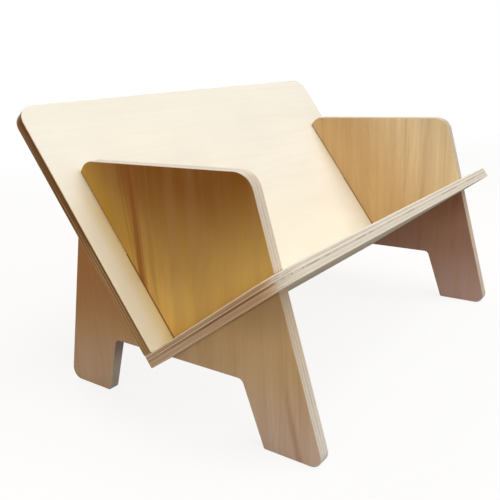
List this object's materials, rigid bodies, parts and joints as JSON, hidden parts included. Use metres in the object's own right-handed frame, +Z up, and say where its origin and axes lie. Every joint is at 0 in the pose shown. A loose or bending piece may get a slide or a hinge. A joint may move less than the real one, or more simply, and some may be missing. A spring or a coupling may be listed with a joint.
{
  "type": "desk organizer shelf",
  "caption": "Desk book rack of slotted plywood boards: a tilted V-shaped trough of a long back and seat, held by A-shaped end panels that stand on feet.",
  "frame": {"origin": "on the desk, midway between the ends and midway between the feet", "axes": "+X along the rack to the user's right, -Y towards the user, +Z up"},
  "size_m": [0.41, 0.2588, 0.2428],
  "materials": {
    "long_board_plywood": "clear satin lacquer on pale plywood, plies bare at the edges",
    "end_panel_plywood": "clear satin lacquer on honey plywood with upright grain, plies bare at the edges"
  },
  "bodies": {
    "root": {"back_panel": "long_board_plywood", "seat_panel": "long_board_plywood", "left_end_panel": "end_panel_plywood", "right_end_panel": "end_panel_plywood"}
  },
  "joints": []
}
